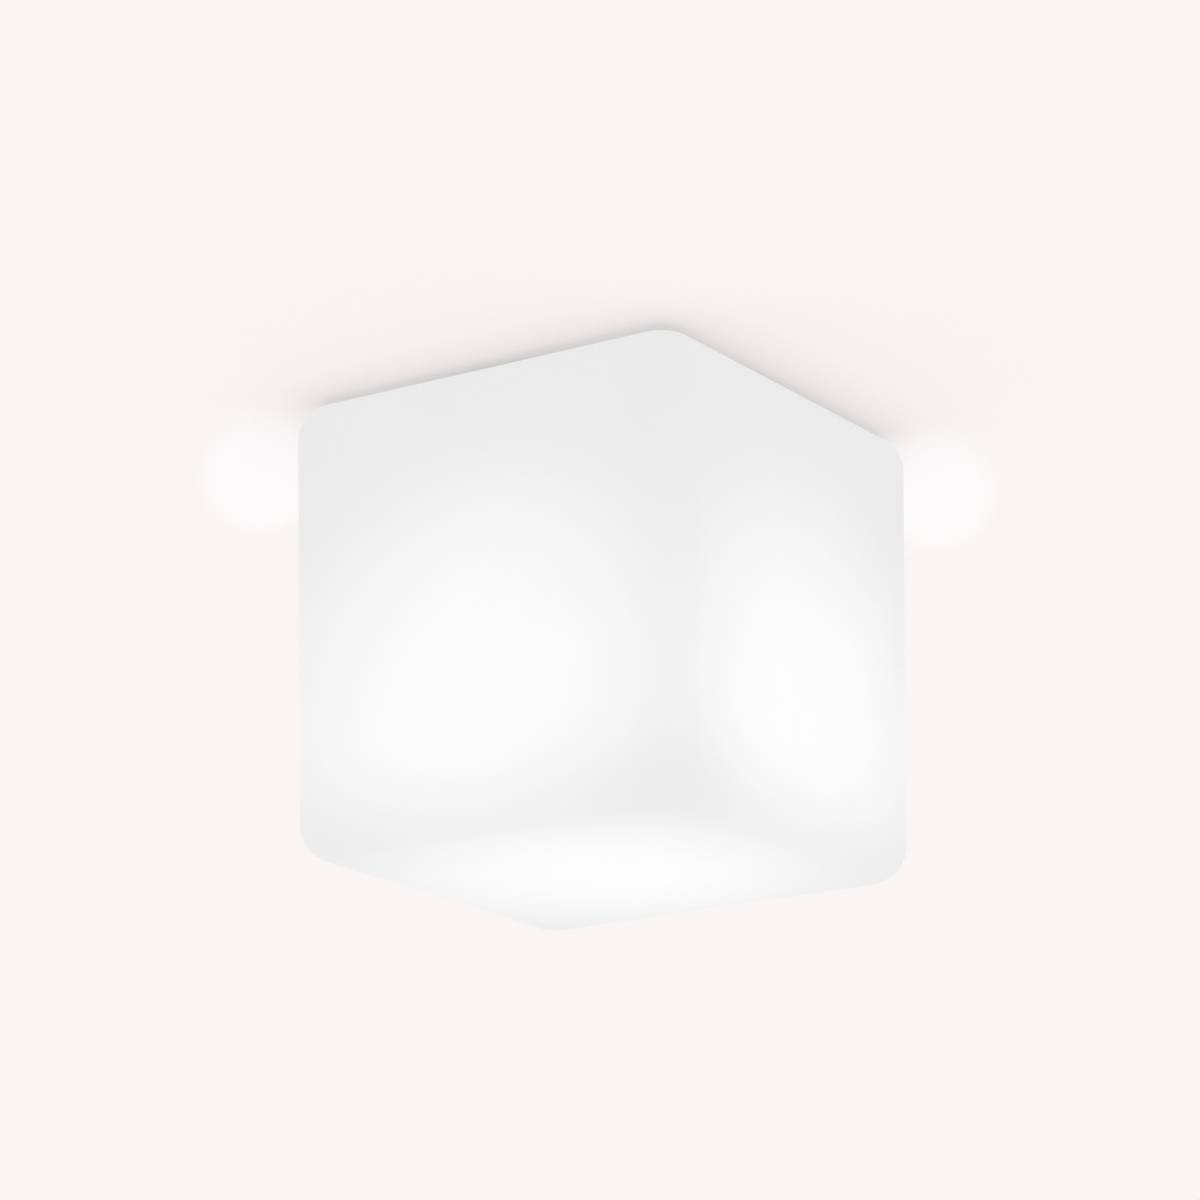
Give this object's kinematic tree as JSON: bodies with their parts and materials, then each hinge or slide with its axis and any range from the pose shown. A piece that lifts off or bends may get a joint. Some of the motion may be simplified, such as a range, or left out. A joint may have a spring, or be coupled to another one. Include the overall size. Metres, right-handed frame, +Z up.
{
  "type": "ceiling light",
  "caption": "Rounded opal cube light that sits flush under a porch ceiling, with a screw-cap lamp on a steel base inside it.",
  "frame": {"origin": "middle of the light, on the plane of the ceiling that its gasket is pressed to", "axes": "+Z up, into the ceiling, along the axis of the lamp; +X and +Y square to the cube's sides"},
  "size_m": [0.2, 0.2, 0.202],
  "materials": {
    "opal_polyethylene": "satin, opal, lit from inside",
    "epdm": "matt, moulded",
    "white_enamel": "semi-gloss stoved enamel",
    "spring_steel": "rolled, bright",
    "rivet_aluminium": "drawn",
    "zinc_plated_steel": "bright zinc plate",
    "glazed_porcelain": "glossy glaze",
    "brass": "pressed, bright",
    "phosphor_bronze": "rolled",
    "natural_polyamide": "moulded",
    "brown_insulation": "extruded",
    "blue_insulation": "extruded",
    "green_yellow_insulation": "extruded",
    "tinned_copper": "tinned",
    "opal_polycarbonate": "fine matt, lit from inside",
    "white_pbt": "moulded, semi-gloss",
    "nickel_plate": "bright nickel",
    "black_insulator": "vitreous",
    "white_board": "white solder mask",
    "led_phosphor": "silicone over phosphor"
  },
  "bodies": {
    "base": {"ceiling_gasket": "epdm", "base_pan": "white_enamel", "retaining_springs": "spring_steel", "spring_rivets": "rivet_aluminium", "lamp_bracket": "zinc_plated_steel", "bracket_rivets": "rivet_aluminium", "holder_body": "glazed_porcelain", "holder_shell": "brass", "holder_contact": "phosphor_bronze", "holder_terminals": "brass", "holder_terminal_screws": "zinc_plated_steel", "holder_screws": "zinc_plated_steel", "terminal_block": "natural_polyamide", "terminal_clamps": "brass", "terminal_screws": "zinc_plated_steel", "block_screws": "zinc_plated_steel", "cable_grommet": "epdm", "cable_clamp": "natural_polyamide", "cable_clamp_screws": "zinc_plated_steel", "earth_washer": "spring_steel", "earth_tag": "tinned_copper", "earth_screw": "zinc_plated_steel", "lead_live": "brown_insulation", "lead_neutral": "blue_insulation", "lead_earth": "green_yellow_insulation"},
    "diffuser": {"diffuser": "opal_polyethylene"},
    "lamp_travel": {"lamp_contact": "tinned_copper"},
    "lamp": {"lamp_globe": "opal_polycarbonate", "lamp_housing": "white_pbt", "lamp_cap": "nickel_plate", "lamp_insulator": "black_insulator", "led_board": "white_board", "led_chips": "led_phosphor"}
  },
  "joints": [
    {"name": "diffuser_slide", "type": "slide", "parent": "base", "child": "diffuser", "axis": [0, 0, -1], "range_m": [0, 0.18], "deforming": ["retaining_springs"]},
    {"name": "lamp_draw", "type": "slide", "parent": "base", "child": "lamp_travel", "axis": [0, 0, -1], "range_m": [0, 0.011]},
    {"name": "lamp_turn", "type": "hinge", "parent": "lamp_travel", "child": "lamp", "pos_m": [0, 0, -0.06], "axis": [0, 0, -1], "range_deg": [0, 1080]}
  ],
  "couplings": [
    {"joint": "lamp_draw", "follows": "lamp_turn", "m_per_rad": 0.00057758}
  ]
}
